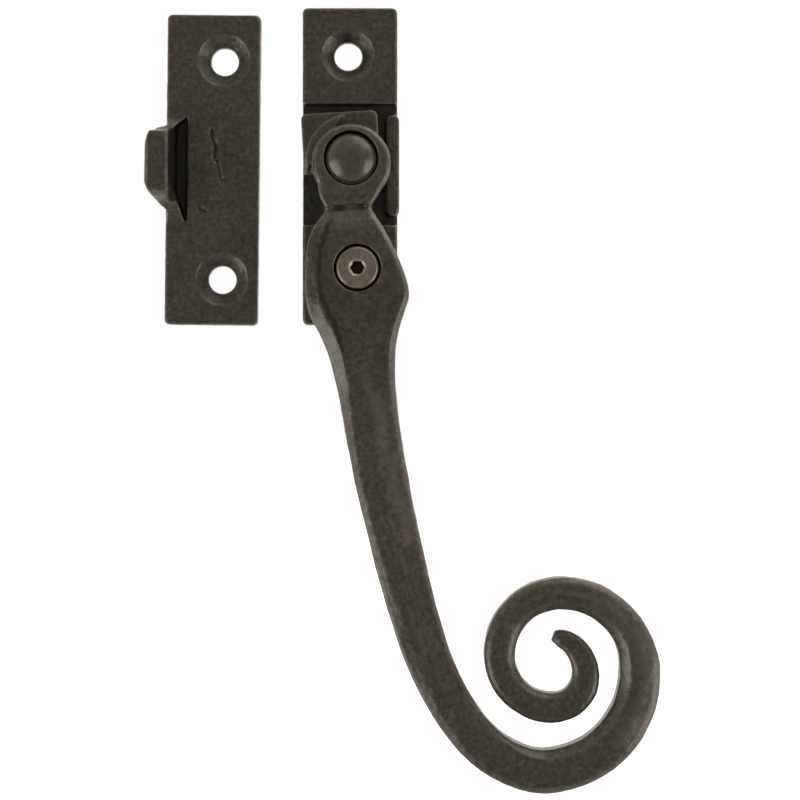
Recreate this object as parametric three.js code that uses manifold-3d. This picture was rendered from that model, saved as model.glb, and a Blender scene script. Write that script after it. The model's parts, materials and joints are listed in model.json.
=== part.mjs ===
// Curled-tail casement window fastener with its hook plate (the keep).
//
// Millimetres. +Z is up, the window face is the plane Y = 0 and the fittings stand off it towards -Y.
// The origin is on the axis of the pivot rivet, at the window face.
// A "height" below is a distance off the window face, so a point at height h has y = -h.

import * as THREE from 'three';
import { mergeVertices } from 'three/addons/utils/BufferGeometryUtils.js';
import Module from 'manifold-3d';

const wasm = await Module();
wasm.setup();

// ---- driving dimensions -------------------------------------------------------------------------

const FIT_GAP = 0.3; // between pieces that touch
const ROUND_SIDES = 40; // facets round a bore, head or shank
const CUT_MARGIN = 2; // how far a cutter runs past the face that it cuts

// Both plates are castings for No. 10 countersunk wood screws.
const PLATE_THICKNESS = 4.5;
const PLATE_CORNER_RADIUS = 1;
const PLATE_EDGE_BREAK = 0.35;
const SCREW_HOLE_RADIUS = 2.8;
const COUNTERSINK_RADIUS = 5.4; // 90 degrees, so it is as deep as it is wider than the hole

// Back plate. Its middle is a pocket, open on the left and closed by a rib on the right.
const BACK_PLATE_LEFT = -9.9;
const BACK_PLATE_RIGHT = 9.3;
const BACK_PLATE_TOP = 31;
const BACK_PLATE_BOTTOM = -33.3;
const TOP_HOLE = { x: -0.7, z: 21.4 };
const LOCK_REACH = 22.1; // pivot to lock screw, and so to the lower hole
const POCKET_TOP = 11.5;
const POCKET_BOTTOM = -13;
const POCKET_FLOOR = 2.2;
const RIB_LEFT = 7;
const RIB_RIGHT = 9.7;
const RIB_TOP = 9.4;
const RIB_BOTTOM = -11.2;
const RIB_HEIGHT = 4;
const LOCK_RECESS_RADIUS = 5.5;
const LOCK_RECESS_FLOOR = 2.6;

// Keep: a plate with a hooked ear on its left edge.
const KEEP_WIDTH = 18.9;
const KEEP_LENGTH = 62.9;
const KEEP_CENTRE = { x: -28.15, z: -1.85 };
const KEEP_TILT = THREE.MathUtils.degToRad(0.65); // lies a hair out of parallel with the back plate
const KEEP_HOLE_SHIFT = 2.1; // holes sit off the centre line, clear of the ear
const KEEP_HOLE_SPACING = 44.4;
const EAR_HEIGHT = 11; // top of the lip
const LIP_UNDERSIDE = 5.6;
const LIP_REACH = 3.8; // past the plate's left edge
const LIP_TOP = 7.3; // ends of the lip and of the ear's foot, from the plate's middle
const LIP_BOTTOM = -4.8;
const LIP_ROUND = 2.4; // of the lip's upper corner
const EAR_FOOT_TOP = 10.6;
const EAR_FOOT_BOTTOM = -11.1;
const EAR_FOOT_WIDTH = 4.3;
const EAR_CREST = 1; // from the plate's left edge to the lip's inner edge
const SLOT_FLOOR = 2; // of the slot between the ear and the plate

// Pivot rivet, its washers and the bores that they sit in.
const RIVET_SHANK_RADIUS = 3;
const RIVET_HEAD_RADIUS = 4.85;
const RIVET_SEAT = 8.3; // underside of the head
const RIVET_RIM = 1.1; // straight side of the head, below its dome
const RIVET_TOP = 11.9;
const RIVET_TAIL_RADIUS = 4.6;
const RIVET_TAIL_DEPTH = 1.3;
const HEAD_WASHER_THICKNESS = 0.6;
const HEAD_WASHER_RADIUS = 5.1;
const HEAD_BORE_RADIUS = 5.45;
const SPRING_WASHER_RADIUS = 5.3;
const SPRING_WASHER_THICKNESS = 0.5;
const SPRING_WASHER_DISH = 0.35;

// Handle, drawn hanging straight down and then swung by its lean.
const HANDLE_LEAN = THREE.MathUtils.degToRad(3.4);
const HANDLE_BACK = 5; // back of the leaf, just clear of the plate
const BOSS_BACK = 5.2;
const BOSS_FACE = 10.6;
const BOSS_RADIUS = 7.9;
const BOSS_DROP = 1; // the boss is cast a little low of the rivet
const TONGUE_BACK = POCKET_FLOOR + FIT_GAP;
const TONGUE_FACE = 5.4;
const TONGUE_TOP = 9.95;
const TONGUE_END = -9.7; // flush with the plate's left edge
const TONGUE_RIGHT = 5.8;
const TONGUE_CORNER = 1.2;
const TONGUE_HUB_RADIUS = 6.6;
const TONGUE_HEEL = -2.4;
const COLLAR_RADIUS = 9.2; // a step between the tongue and the boss, on the tongue's side
const COLLAR_FACE = 7.4;
const LEAF_FACE = 12.3;
const TAIL_LIFT = 8; // how far the tail is cranked off the window, for the fingers
const LIFT_START = 34; // distances along the handle between which it is cranked
const LIFT_END = 88;
const NOTCH_END = 6.5; // distances along the handle to the ends of its stretches
const LEAF_END = 44;
const SCROLL_START = 128;

// Lock screw: M5 socket screw in the leaf, held captive by a clip behind it.
const LOCK_HEAD_RADIUS = 4.25;
const LOCK_HEAD_TOP = 12.2;
const LOCK_HEAD_BOTTOM = 10.1;
const LOCK_TRAVEL = 2;
const LOCK_BORE_RADIUS = 4.7;
const LOCK_SHANK_RADIUS = 2.35;
const LOCK_SHANK_END = 5.9;
const LOCK_NECK_RADIUS = 1.6;
const LOCK_NECK_END = 5.0;
const LOCK_TIP_RADIUS = 2.1;
const LOCK_TIP = 4.75;
const HEX_KEY = 2.5; // across flats
const HEX_DEPTH = 2.6;
const CLIP_RADIUS = 3.8;
const CLIP_TOP = 5.75;
const CLIP_BOTTOM = 5.15;
const CLIP_POCKET_RADIUS = 4.3;
const CLIP_POCKET_ROOF = 6.1;

// ---- helpers ------------------------------------------------------------------------------------

function toSolid(geometry) {
  geometry.deleteAttribute('normal');
  geometry.deleteAttribute('uv');
  const merged = mergeVertices(geometry, 1e-4);
  return new wasm.Manifold(new wasm.Mesh({
    numProp: 3,
    vertProperties: new Float32Array(merged.attributes.position.array),
    triVerts: new Uint32Array(merged.index.array),
  }));
}

function toGeometry(solid) {
  const mesh = solid.getMesh();
  const geometry = new THREE.BufferGeometry();
  geometry.setAttribute('position', new THREE.BufferAttribute(new Float32Array(mesh.vertProperties), 3));
  geometry.setIndex(new THREE.BufferAttribute(new Uint32Array(mesh.triVerts), 1));
  geometry.computeVertexNormals();
  return geometry;
}

// A solid of revolution about an axis square to the window, from [radius, height] pairs.
function turned(profile, x = 0, z = 0, sides = ROUND_SIDES) {
  const points = profile.map(([radius, height]) => new THREE.Vector2(radius, height));
  const geometry = new THREE.LatheGeometry(points, sides);
  geometry.rotateX(Math.PI);
  geometry.translate(x, 0, z);
  return toSolid(geometry);
}

// A flat outline in X and Z, made solid between two heights, with its edges broken.
function standing(shape, low, high, edgeBreak = 0, curveSegments = 12) {
  const geometry = new THREE.ExtrudeGeometry(shape, {
    depth: high - low - 2 * edgeBreak,
    bevelEnabled: edgeBreak > 0,
    bevelThickness: edgeBreak,
    bevelSize: edgeBreak,
    bevelOffset: -edgeBreak,
    bevelSegments: 1,
    curveSegments,
  });
  geometry.translate(0, 0, low + edgeBreak);
  geometry.rotateX(Math.PI / 2);
  return toSolid(geometry);
}

function block(left, right, bottom, top, low, high) {
  const geometry = new THREE.BoxGeometry(right - left, high - low, top - bottom);
  geometry.translate((left + right) / 2, -(low + high) / 2, (bottom + top) / 2);
  return toSolid(geometry);
}

function roundedRectangle(left, right, bottom, top, radius) {
  const shape = new THREE.Shape();
  shape.moveTo(left + radius, bottom);
  shape.lineTo(right - radius, bottom);
  shape.absarc(right - radius, bottom + radius, radius, -Math.PI / 2, 0);
  shape.lineTo(right, top - radius);
  shape.absarc(right - radius, top - radius, radius, 0, Math.PI / 2);
  shape.lineTo(left + radius, top);
  shape.absarc(left + radius, top - radius, radius, Math.PI / 2, Math.PI);
  shape.lineTo(left, bottom + radius);
  shape.absarc(left + radius, bottom + radius, radius, Math.PI, 1.5 * Math.PI);
  return shape;
}

// ExtrudeGeometry draws in X and Y, and rotateX(90) then takes Y to Z and the depth to -Y.
function plateBlank(left, right, bottom, top) {
  const outline = roundedRectangle(left, right, bottom, top, PLATE_CORNER_RADIUS);
  return standing(outline, 0, PLATE_THICKNESS, PLATE_EDGE_BREAK, 4);
}

function countersunkHole(x, z, face = PLATE_THICKNESS) {
  const coneDepth = COUNTERSINK_RADIUS - SCREW_HOLE_RADIUS;
  return turned([
    [0, -CUT_MARGIN],
    [SCREW_HOLE_RADIUS, -CUT_MARGIN],
    [SCREW_HOLE_RADIUS, face - coneDepth],
    [COUNTERSINK_RADIUS, face],
    [COUNTERSINK_RADIUS, face + CUT_MARGIN],
    [0, face + CUT_MARGIN],
  ], x, z);
}

// A bar lofted through rings of [x, height, z] points, closed at both ends.
function lofted(rings) {
  const sides = rings[0].length;
  const steps = rings.length - 1;
  const geometry = new THREE.CylinderGeometry(1, 1, 1, sides, steps);
  const position = geometry.attributes.position;
  const vertex = new THREE.Vector3();
  for (let i = 0; i < position.count; i += 1) {
    vertex.fromBufferAttribute(position, i);
    const ring = rings[Math.round((0.5 - vertex.y) * steps)];
    if (Math.hypot(vertex.x, vertex.z) > 0.5) {
      const turn = Math.atan2(vertex.x, vertex.z) / (2 * Math.PI);
      const [x, height, z] = ring[(Math.round(turn * sides) + sides) % sides];
      position.setXYZ(i, x, -height, z);
    } else {
      const middle = [0, 1, 2].map((axis) => ring.reduce((sum, point) => sum + point[axis], 0) / sides);
      position.setXYZ(i, middle[0], -middle[1], middle[2]);
    }
  }
  return toSolid(geometry);
}

// ---- back plate ---------------------------------------------------------------------------------

function backPlate() {
  const ribOutline = roundedRectangle(RIB_LEFT, RIB_RIGHT, RIB_BOTTOM, RIB_TOP, 1.2);
  const pocket = block(BACK_PLATE_LEFT - CUT_MARGIN, BACK_PLATE_RIGHT + CUT_MARGIN, POCKET_BOTTOM,
    POCKET_TOP, POCKET_FLOOR, PLATE_THICKNESS + CUT_MARGIN);
  const lockRecess = turned([
    [0, LOCK_RECESS_FLOOR],
    [LOCK_RECESS_RADIUS, LOCK_RECESS_FLOOR],
    [LOCK_RECESS_RADIUS, PLATE_THICKNESS + CUT_MARGIN],
    [0, PLATE_THICKNESS + CUT_MARGIN],
  ], 0, -LOCK_REACH);
  return plateBlank(BACK_PLATE_LEFT, BACK_PLATE_RIGHT, BACK_PLATE_BOTTOM, BACK_PLATE_TOP)
    .subtract(pocket)
    .add(standing(ribOutline, POCKET_FLOOR - 1, RIB_HEIGHT, 0.3, 5))
    .subtract(countersunkHole(TOP_HOLE.x, TOP_HOLE.z))
    .subtract(countersunkHole(0, -LOCK_REACH, LOCK_RECESS_FLOOR))
    .subtract(lockRecess)
    .subtract(rivetBoreInPlate());
}

function rivetBoreInPlate() {
  const bore = RIVET_SHANK_RADIUS + FIT_GAP;
  const mouth = RIVET_TAIL_RADIUS + FIT_GAP;
  return turned([
    [0, -CUT_MARGIN],
    [mouth, -CUT_MARGIN],
    [mouth, 0],
    [bore, RIVET_TAIL_DEPTH + FIT_GAP],
    [bore, POCKET_FLOOR + CUT_MARGIN],
    [0, POCKET_FLOOR + CUT_MARGIN],
  ]);
}

// ---- keep ---------------------------------------------------------------------------------------

// The ear's section, in X and height: a foot on the plate and a lip that overhangs its left edge.
function earSection(edge) {
  const section = new THREE.Shape();
  section.moveTo(edge + 0.2, PLATE_THICKNESS - 1);
  section.lineTo(edge + EAR_FOOT_WIDTH, PLATE_THICKNESS - 1);
  section.lineTo(edge + EAR_FOOT_WIDTH, PLATE_THICKNESS);
  section.bezierCurveTo(
    edge + EAR_FOOT_WIDTH - 0.8, PLATE_THICKNESS + 0.8,
    edge + 1.8, EAR_HEIGHT - 3,
    edge + 1, EAR_HEIGHT - 0.5,
  );
  section.lineTo(edge + 0.4, EAR_HEIGHT);
  section.lineTo(edge - LIP_REACH + 0.7, EAR_HEIGHT);
  section.lineTo(edge - LIP_REACH, EAR_HEIGHT - 0.7);
  section.lineTo(edge - LIP_REACH, LIP_UNDERSIDE + 1.6);
  section.lineTo(edge - LIP_REACH + 0.6, LIP_UNDERSIDE + 1);
  section.lineTo(edge + 0.2, LIP_UNDERSIDE);
  return section;
}

// The ear seen from the side, in Z and height: flanks that sweep in from the foot to the lip.
function earFlanks() {
  const flank = new THREE.Shape();
  flank.moveTo(EAR_FOOT_BOTTOM, 0);
  flank.lineTo(EAR_FOOT_TOP, 0);
  flank.lineTo(EAR_FOOT_TOP, PLATE_THICKNESS);
  flank.quadraticCurveTo(LIP_TOP + 0.9, PLATE_THICKNESS + 1.2, LIP_TOP + 0.3, LIP_UNDERSIDE + 2);
  flank.lineTo(LIP_TOP, EAR_HEIGHT - 0.6);
  flank.lineTo(LIP_TOP - 0.6, EAR_HEIGHT + CUT_MARGIN);
  flank.lineTo(LIP_BOTTOM, EAR_HEIGHT + CUT_MARGIN);
  flank.lineTo(LIP_BOTTOM, EAR_HEIGHT);
  flank.lineTo(LIP_BOTTOM - 1, EAR_HEIGHT - 1.6);
  flank.lineTo(LIP_BOTTOM - 1.7, LIP_UNDERSIDE + 1.5);
  flank.quadraticCurveTo(LIP_BOTTOM - 2.7, PLATE_THICKNESS + 1.2, EAR_FOOT_BOTTOM, PLATE_THICKNESS);
  return flank;
}

// The ear in plan: the lip's upper corner is rounded, and its lower corner runs back at a slant.
function earPlan(edge) {
  const lipEdge = edge - LIP_REACH;
  const plan = new THREE.Shape();
  plan.moveTo(edge + EAR_FOOT_WIDTH + 1, EAR_FOOT_BOTTOM - 1);
  plan.lineTo(edge - 0.1, EAR_FOOT_BOTTOM - 1);
  plan.lineTo(edge - 0.1, LIP_BOTTOM - 3.6);
  plan.lineTo(lipEdge + 0.7, LIP_BOTTOM);
  plan.lineTo(lipEdge, LIP_BOTTOM + 1.6);
  plan.lineTo(lipEdge, LIP_TOP - LIP_ROUND - 1);
  plan.quadraticCurveTo(lipEdge + 0.1, LIP_TOP - 0.3, lipEdge + 1.7, LIP_TOP + 0.5);
  plan.lineTo(edge - 0.1, EAR_FOOT_TOP + 1);
  plan.lineTo(edge + EAR_FOOT_WIDTH + 1, EAR_FOOT_TOP + 1);
  return standing(plan, 0, EAR_HEIGHT + CUT_MARGIN, 0, 6);
}

// The slot behind the ear, which runs down into the plate and pinches out at both ends.
function earSlot(edge) {
  const section = new THREE.Shape();
  section.moveTo(edge + EAR_CREST, EAR_HEIGHT + CUT_MARGIN);
  section.lineTo(edge + EAR_CREST, EAR_HEIGHT - 0.8);
  section.lineTo(edge + EAR_CREST + 0.9, SLOT_FLOOR);
  section.lineTo(edge + EAR_FOOT_WIDTH, SLOT_FLOOR);
  section.lineTo(edge + EAR_FOOT_WIDTH, EAR_HEIGHT + CUT_MARGIN);
  const length = EAR_FOOT_TOP - EAR_FOOT_BOTTOM;
  const groove = new THREE.ExtrudeGeometry(section, { depth: length, bevelEnabled: false });
  groove.translate(0, 0, -EAR_FOOT_TOP);
  groove.rotateX(Math.PI);
  const plan = new THREE.Shape();
  plan.moveTo(edge + EAR_FOOT_WIDTH + 1, EAR_FOOT_TOP - 0.1);
  plan.lineTo(edge + EAR_FOOT_WIDTH - 0.4, EAR_FOOT_TOP - 0.1);
  plan.lineTo(edge + EAR_CREST, LIP_TOP + 0.6);
  plan.lineTo(edge + EAR_CREST, LIP_BOTTOM + 2.4);
  plan.lineTo(edge + EAR_FOOT_WIDTH - 0.4, EAR_FOOT_BOTTOM + 0.5);
  plan.lineTo(edge + EAR_FOOT_WIDTH + 1, EAR_FOOT_BOTTOM + 0.5);
  return toSolid(groove).intersect(standing(plan, 0, EAR_HEIGHT + CUT_MARGIN));
}

function ear(edge) {
  const body = new THREE.ExtrudeGeometry(earSection(edge), {
    depth: KEEP_LENGTH,
    bevelEnabled: false,
    curveSegments: 8,
  });
  body.translate(0, 0, -KEEP_LENGTH / 2);
  body.rotateX(Math.PI);
  const sides = new THREE.ExtrudeGeometry(earFlanks(), {
    depth: 2 * KEEP_WIDTH,
    bevelEnabled: false,
    curveSegments: 8,
  });
  sides.rotateX(Math.PI);
  sides.rotateY(-Math.PI / 2);
  sides.translate(edge - KEEP_WIDTH, 0, 0);
  return toSolid(body).intersect(toSolid(sides)).intersect(earPlan(edge));
}

function keep() {
  const edge = -KEEP_WIDTH / 2;
  let solid = plateBlank(edge, KEEP_WIDTH / 2, -KEEP_LENGTH / 2, KEEP_LENGTH / 2)
    .add(ear(edge))
    .subtract(earSlot(edge));
  for (const side of [-1, 1]) {
    solid = solid.subtract(countersunkHole(KEEP_HOLE_SHIFT, (side * KEEP_HOLE_SPACING) / 2));
  }
  return solid;
}

// ---- pivot --------------------------------------------------------------------------------------

function pivotRivet() {
  const domeBase = RIVET_SEAT + RIVET_RIM;
  const dome = [];
  const domeSteps = 8;
  for (let i = 0; i < domeSteps; i += 1) {
    const angle = (i / domeSteps) * (Math.PI / 2);
    dome.push([RIVET_HEAD_RADIUS * Math.cos(angle), domeBase + (RIVET_TOP - domeBase) * Math.sin(angle)]);
  }
  return turned([
    [0, 0.1],
    [RIVET_TAIL_RADIUS, 0.1],
    [RIVET_SHANK_RADIUS, RIVET_TAIL_DEPTH],
    [RIVET_SHANK_RADIUS, RIVET_SEAT],
    [RIVET_HEAD_RADIUS, RIVET_SEAT],
    ...dome,
    [0, RIVET_TOP],
  ]);
}

function headWasher() {
  const top = RIVET_SEAT - FIT_GAP;
  const bottom = top - HEAD_WASHER_THICKNESS;
  const bore = RIVET_SHANK_RADIUS + FIT_GAP;
  return turned([
    [bore, bottom],
    [HEAD_WASHER_RADIUS, bottom],
    [HEAD_WASHER_RADIUS, top],
    [bore, top],
    [bore, bottom],
  ]);
}

// A dished spring washer, in a recess in the back of the tongue.
function springWasher() {
  const bore = RIVET_SHANK_RADIUS + FIT_GAP;
  const low = TONGUE_BACK;
  const high = low + SPRING_WASHER_DISH;
  return turned([
    [bore, high],
    [SPRING_WASHER_RADIUS, low],
    [SPRING_WASHER_RADIUS, low + SPRING_WASHER_THICKNESS],
    [bore, high + SPRING_WASHER_THICKNESS],
    [bore, high],
  ]);
}

// ---- handle -------------------------------------------------------------------------------------

function tongueOutline() {
  const heelStart = Math.PI + Math.asin(-TONGUE_HEEL / TONGUE_HUB_RADIUS);
  const heelEnd = 2 * Math.PI - Math.acos(TONGUE_RIGHT / TONGUE_HUB_RADIUS);
  const cornerHeight = TONGUE_TOP - TONGUE_CORNER;
  const outline = new THREE.Shape();
  outline.moveTo(TONGUE_RIGHT, cornerHeight);
  outline.absarc(TONGUE_RIGHT - TONGUE_CORNER, cornerHeight, TONGUE_CORNER, 0, Math.PI / 2);
  outline.absarc(TONGUE_END + TONGUE_CORNER, cornerHeight, TONGUE_CORNER, Math.PI / 2, Math.PI);
  outline.lineTo(TONGUE_END, TONGUE_HEEL);
  outline.absarc(0, 0, TONGUE_HUB_RADIUS, heelStart, heelEnd);
  return outline;
}

function collarOutline() {
  const outline = new THREE.Shape();
  outline.moveTo(0, 0);
  outline.absarc(0, 0, COLLAR_RADIUS, THREE.MathUtils.degToRad(96), THREE.MathUtils.degToRad(190));
  return outline;
}

// The centre line of the handle, hanging straight: leaf, shaft, then a scroll of quarter bends
// whose radii tighten inwards.
function centreLine() {
  const points = [
    [0, -5],
    [0, -20],
    [0, -36],
    [0.6, -49],
    [2, -62],
    [4.2, -76],
    [6.9, -90],
    [10.8, -103.8],
    [17.7, -116.2],
    [24.8, -121.9],
  ];
  const scrollStart = [31.5, -123.8];
  const bendRadii = [19.5, 15.4, 12.1, 10.3, 6.5, 7.8];
  const lastBend = 77; // degrees
  let heading = 0;
  let [x, z] = scrollStart;
  bendRadii.forEach((radius, index) => {
    const isLast = index === bendRadii.length - 1;
    const bend = THREE.MathUtils.degToRad(isLast ? lastBend : 90);
    const pieces = 3;
    const centreX = x - radius * Math.sin(heading);
    const centreZ = z + radius * Math.cos(heading);
    for (let piece = index === 0 ? 0 : 1; piece <= pieces; piece += 1) {
      const angle = heading + (bend * piece) / pieces;
      points.push([centreX + radius * Math.sin(angle), centreZ - radius * Math.cos(angle)]);
    }
    heading += bend;
    [x, z] = points[points.length - 1];
  });
  const curve = new THREE.CatmullRomCurve3(points.map(([px, pz]) => new THREE.Vector3(px, 0, pz)));
  curve.curveType = 'centripetal';
  curve.arcLengthDivisions = 1000;
  return curve;
}

// How the bar changes along the centre line, at distances from its start in the boss.
// "Outer" is the left of the leaf and the outside of the scroll. A bevel is the width of the slope
// between a side and the front face, its drop is how far it falls, and a ridge is how far the face
// is crowned.
const STATION_KEYS = [
  'at', 'outer', 'inner', 'face', 'back', 'outerBevel', 'outerDrop', 'innerBevel', 'ridge',
];
const STATIONS = [
  [0, 6.9, 6.4, 10.55, 5.3, 0.5, 0.4, 0.5, 0],
  [2.4, 6.7, 5.1, 10.55, 5.1, 0.6, 0.5, 0.6, 0],
  [4.5, 5.8, 3.6, 10.55, 5, 0.7, 0.6, 0.6, 0],
  [4.9, 5.8, 3.5, 9.8, 5, 0.7, 0.6, 0.6, 0],
  [5.5, 6.1, 3.7, 10.2, 5, 1.2, 0.7, 0.7, 0],
  [8, 8, 5, 11.6, 5, 2.4, 0.9, 0.9, 0],
  [11.5, 9.6, 6.7, 12.2, 5, 2.8, 1, 1, 0],
  [17, 10.4, 8.9, 12.3, 5, 2.9, 1, 1, 0],
  [22.5, 10.65, 10.1, 12.3, 5, 2.9, 1.1, 1, 0],
  [26, 10, 9, 12.3, 5, 3, 1.4, 1.1, 0],
  [29, 8.5, 7.8, 12.3, 5, 3, 1.7, 1.2, 0],
  [33, 7.1, 6.7, 12.3, 5, 2.8, 2.1, 1.3, 0.1],
  [36, 6.5, 6.3, 12.2, 5, 2.6, 2.1, 1.2, 0.4],
  [43, 5.7, 5.7, 11.9, 5, 2, 1.8, 1.1, 0.8],
  [60, 5.3, 5.3, 11.9, 5, 1.3, 1.2, 0.8, 0.9],
  [78, 4.9, 4.9, 12, 5, 1.8, 0.9, 0.6, 0.9],
  [90, 4.6, 4.6, 12, 5, 2.3, 0.8, 0.5, 0.8],
  [110, 4.25, 4.25, 12.1, 4.9, 1.6, 0.8, 0.7, 0.7],
  [135, 4.3, 4.2, 12.2, 4.8, 1.2, 0.9, 2, 0.7],
  [155, 4.1, 4, 12.1, 5, 1.2, 1, 2, 0.7],
  [170, 3.4, 3.4, 11.9, 5.3, 1.1, 0.9, 1.7, 0.6],
  [205, 3.05, 3, 11.7, 5.6, 1, 0.9, 1.2, 0.5],
  [226, 2.85, 2.7, 11.5, 6, 0.9, 0.8, 1, 0.4],
  [236, 1.9, 1.9, 10.8, 6.8, 0.7, 0.6, 0.7, 0.1],
  [238, 1.1, 1.1, 10, 7.6, 0.5, 0.4, 0.5, 0],
].map((row) => Object.fromEntries(row.map((value, index) => [STATION_KEYS[index], value])));

// One quantity at a distance along the bar, by a smooth curve through the stations.
function stationValue(key, distance) {
  const last = STATIONS.length - 1;
  let i = 0;
  while (i < last - 1 && distance > STATIONS[i + 1].at) i += 1;
  const slopeAt = (index) => {
    const before = STATIONS[Math.max(index - 1, 0)];
    const after = STATIONS[Math.min(index + 1, last)];
    return (after[key] - before[key]) / (after.at - before.at);
  };
  const from = STATIONS[i];
  const to = STATIONS[i + 1];
  const span = to.at - from.at;
  const t = THREE.MathUtils.clamp((distance - from.at) / span, 0, 1);
  const start = (1 + 2 * t) * (1 - t) ** 2 * from[key] + t * (1 - t) ** 2 * span * slopeAt(i);
  const end = t * t * (3 - 2 * t) * to[key] + t * t * (t - 1) * span * slopeAt(i + 1);
  return start + end;
}

// The bar's section at a distance, as [across, height] pairs from the outer back corner round.
function barSection(distance) {
  const value = (key) => stationValue(key, distance);
  const lift = TAIL_LIFT * THREE.MathUtils.smoothstep(distance, LIFT_START, LIFT_END);
  const back = value('back') + lift;
  const face = value('face') + lift;
  const outer = value('outer');
  const inner = value('inner');
  const outerBevel = value('outerBevel');
  const innerBevel = value('innerBevel');
  const corner = Math.min(0.9, 0.3 * outer);
  const crown = (inner - innerBevel - outer + outerBevel) / 2;
  return [
    [-outer + corner, back],
    [-outer, back + corner],
    [-outer, face - value('outerDrop')],
    [-outer + outerBevel, face],
    [crown, face + value('ridge')],
    [inner - innerBevel, face],
    [inner, face - Math.min(0.95 * innerBevel, 0.4 * (face - back))],
    [inner, back + corner],
    [inner - corner, back],
  ];
}

// The rings stand closest where the neck is notched and in the scroll's bends.
function ringSpacing(distance) {
  if (distance < NOTCH_END) return 0.5;
  if (distance < LEAF_END) return 1.2;
  return distance < SCROLL_START ? 2.2 : 1.3;
}

function bar() {
  const curve = centreLine();
  const length = STATIONS[STATIONS.length - 1].at;
  const distances = [];
  for (let d = 0; d < length; d += ringSpacing(d)) distances.push(d);
  distances.push(length);
  return lofted(distances.map((distance) => {
    const along = distance / length;
    const centre = curve.getPointAt(along);
    const direction = curve.getTangentAt(along);
    return barSection(distance).map(([across, height]) => [
      centre.x - across * direction.z,
      height,
      centre.z + across * direction.x,
    ]);
  }));
}

function handle() {
  const chamfer = 0.7;
  const boss = turned([
    [0, BOSS_BACK],
    [BOSS_RADIUS - 0.3, BOSS_BACK],
    [BOSS_RADIUS, BOSS_BACK + 0.3],
    [BOSS_RADIUS, BOSS_FACE - chamfer],
    [BOSS_RADIUS - chamfer, BOSS_FACE],
    [0, BOSS_FACE],
  ], 0, -BOSS_DROP, 56);
  const tongue = standing(tongueOutline(), TONGUE_BACK, TONGUE_FACE, 0.25, 10);
  const collar = standing(collarOutline(), TONGUE_FACE - 1, COLLAR_FACE, 0.3, 10);
  return boss.add(tongue).add(collar).add(bar()).subtract(rivetBoreInHandle()).subtract(lockBore());
}

function rivetBoreInHandle() {
  const bore = RIVET_SHANK_RADIUS + FIT_GAP;
  const headBoreFloor = RIVET_SEAT - 2 * FIT_GAP - HEAD_WASHER_THICKNESS;
  const washerBore = SPRING_WASHER_RADIUS + FIT_GAP;
  const washerRoof = TONGUE_BACK + SPRING_WASHER_DISH + SPRING_WASHER_THICKNESS + FIT_GAP;
  return turned([
    [0, TONGUE_BACK - CUT_MARGIN],
    [washerBore, TONGUE_BACK - CUT_MARGIN],
    [washerBore, washerRoof],
    [bore, washerRoof],
    [bore, headBoreFloor],
    [HEAD_BORE_RADIUS, headBoreFloor],
    [HEAD_BORE_RADIUS, BOSS_FACE + CUT_MARGIN],
    [0, BOSS_FACE + CUT_MARGIN],
  ]);
}

function lockBore() {
  const thread = LOCK_SHANK_RADIUS + FIT_GAP;
  const seat = LOCK_HEAD_BOTTOM - LOCK_TRAVEL - FIT_GAP;
  return turned([
    [0, HANDLE_BACK - CUT_MARGIN],
    [CLIP_POCKET_RADIUS, HANDLE_BACK - CUT_MARGIN],
    [CLIP_POCKET_RADIUS, CLIP_POCKET_ROOF],
    [thread, CLIP_POCKET_ROOF],
    [thread, seat],
    [LOCK_BORE_RADIUS, seat],
    [LOCK_BORE_RADIUS, LEAF_FACE + CUT_MARGIN],
    [0, LEAF_FACE + CUT_MARGIN],
  ], 0, -LOCK_REACH);
}

// ---- lock screw ---------------------------------------------------------------------------------

function lockScrew() {
  const chamfer = 0.35;
  const screw = turned([
    [0, LOCK_TIP],
    [LOCK_TIP_RADIUS - 0.2, LOCK_TIP],
    [LOCK_TIP_RADIUS, LOCK_TIP + 0.1],
    [LOCK_TIP_RADIUS, LOCK_NECK_END],
    [LOCK_NECK_RADIUS, LOCK_NECK_END],
    [LOCK_NECK_RADIUS, LOCK_SHANK_END],
    [LOCK_SHANK_RADIUS, LOCK_SHANK_END],
    [LOCK_SHANK_RADIUS, LOCK_HEAD_BOTTOM],
    [LOCK_HEAD_RADIUS, LOCK_HEAD_BOTTOM],
    [LOCK_HEAD_RADIUS, LOCK_HEAD_TOP - chamfer],
    [LOCK_HEAD_RADIUS - chamfer, LOCK_HEAD_TOP],
    [0, LOCK_HEAD_TOP],
  ], 0, -LOCK_REACH);
  const socket = new THREE.CylinderGeometry(HEX_KEY / Math.sqrt(3), HEX_KEY / Math.sqrt(3), 2 * HEX_DEPTH, 6);
  socket.translate(0, -LOCK_HEAD_TOP, -LOCK_REACH);
  return screw.subtract(toSolid(socket));
}

// An E-shaped clip that snaps on to the screw's neck from one side.
function lockClip() {
  const bore = LOCK_NECK_RADIUS + FIT_GAP;
  const halfMouth = 0.35 * bore;
  const ring = turned([
    [bore, CLIP_BOTTOM],
    [CLIP_RADIUS, CLIP_BOTTOM],
    [CLIP_RADIUS, CLIP_TOP],
    [bore, CLIP_TOP],
    [bore, CLIP_BOTTOM],
  ], 0, -LOCK_REACH);
  const mouth = block(0, CLIP_RADIUS + 1, -LOCK_REACH - halfMouth, -LOCK_REACH + halfMouth,
    CLIP_BOTTOM - 1, CLIP_TOP + 1);
  return ring.subtract(mouth);
}

// ---- assembly -----------------------------------------------------------------------------------

const PAINT = { color: 0x3a372f, roughness: 0.42, metalness: 0 };
const BLACKED_STEEL = { color: 0x6a5f58, roughness: 0.38, metalness: 1 };
const BRIGHT_STEEL = { color: 0x8c8a86, roughness: 0.35, metalness: 1 };

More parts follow.
